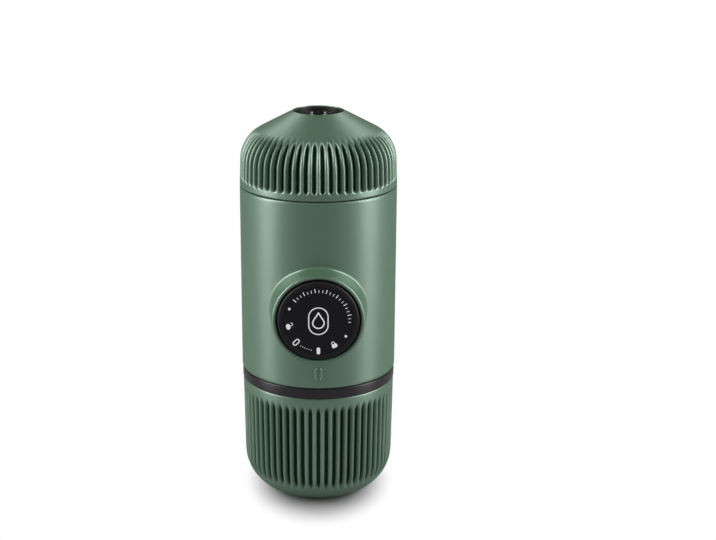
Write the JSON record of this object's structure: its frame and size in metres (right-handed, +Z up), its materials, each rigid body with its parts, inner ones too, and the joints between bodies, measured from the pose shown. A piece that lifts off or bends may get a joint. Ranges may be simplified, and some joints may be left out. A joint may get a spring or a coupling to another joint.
{
  "type": "handheld manual espresso maker",
  "caption": "Hand-pumped espresso maker: ribbed water tank below, smooth body with a turn-and-push pump knob, and a ribbed outlet head on top.",
  "frame": {"origin": "centre of the flat base that the tank stands on", "axes": "+Z up along the axis of the tank and body; the pump knob faces -Y"},
  "size_m": [0.062, 0.0706, 0.1561],
  "materials": {
    "green_shell": "satin moulded",
    "black_vessel": "satin",
    "black_frame": "matt",
    "knob_black": "fine matt",
    "dial_black": "fine matt with white marks",
    "seal_rubber": "soft",
    "valve_rubber": "soft translucent",
    "steel": "brushed",
    "spring_steel": "drawn wire",
    "pump_plastic": "moulded",
    "spout_black": "polished"
  },
  "bodies": {
    "tank": {"tank_shell": "green_shell", "tank_vessel": "black_vessel"},
    "main_body": {"body_shell": "green_shell", "tank_gasket": "seal_rubber", "chassis": "black_frame", "inlet_strainer": "black_frame", "air_valve": "valve_rubber", "feed_tube": "valve_rubber", "tie_rods": "steel", "pump_barrel": "pump_plastic", "guide_sleeve": "knob_black", "valve_head": "pump_plastic", "head_screws": "steel", "inlet_seat": "pump_plastic", "outlet_fitting": "pump_plastic", "riser_tube": "valve_rubber", "brew_plate": "black_frame", "shower_screen": "steel", "shower_screw": "steel", "brew_gasket": "seal_rubber", "head_gasket": "seal_rubber", "return_spring": "spring_steel"},
    "inlet_poppet": {"inlet_valve": "valve_rubber"},
    "outlet_poppet": {"outlet_valve": "valve_rubber"},
    "spring_washer": {"thrust_washer": "steel"},
    "piston": {"knob_cap": "knob_black", "dial_insert": "dial_black", "piston_skirt": "knob_black", "lock_pins": "steel", "piston_rod": "steel", "piston_head": "pump_plastic", "piston_ring": "seal_rubber"},
    "basket": {"filter_basket": "steel"},
    "outlet_head": {"head_shell": "green_shell", "portafilter": "black_frame", "spout": "spout_black", "crema_seat": "pump_plastic"},
    "crema_poppet": {"crema_valve": "valve_rubber"}
  },
  "joints": [
    {"name": "body_lift", "type": "slide", "parent": "tank", "child": "main_body", "axis": [0, 0, 1], "range_m": [0, 0.03]},
    {"name": "inlet_valve_lift", "type": "slide", "parent": "main_body", "child": "inlet_poppet", "axis": [0, 0, 1], "range_m": [0, 0.0012]},
    {"name": "outlet_valve_lift", "type": "slide", "parent": "main_body", "child": "outlet_poppet", "axis": [0, 0, 1], "range_m": [0, 0.0012]},
    {"name": "piston_stroke", "type": "slide", "parent": "main_body", "child": "spring_washer", "axis": [0, -1, 0], "range_m": [0, 0.018], "deforming": ["return_spring"]},
    {"name": "knob_turn", "type": "hinge", "parent": "spring_washer", "child": "piston", "pos_m": [0, 0, 0.083], "axis": [0, -1, 0], "range_deg": [0, 45]},
    {"name": "basket_lift", "type": "slide", "parent": "main_body", "child": "basket", "axis": [0, 0, 1], "range_m": [0, 0.045]},
    {"name": "head_lift", "type": "slide", "parent": "basket", "child": "outlet_head", "axis": [0, 0, 1], "range_m": [0, 0.06]},
    {"name": "crema_valve_lift", "type": "slide", "parent": "outlet_head", "child": "crema_poppet", "axis": [0, 0, 1], "range_m": [0, 0.001]}
  ]
}
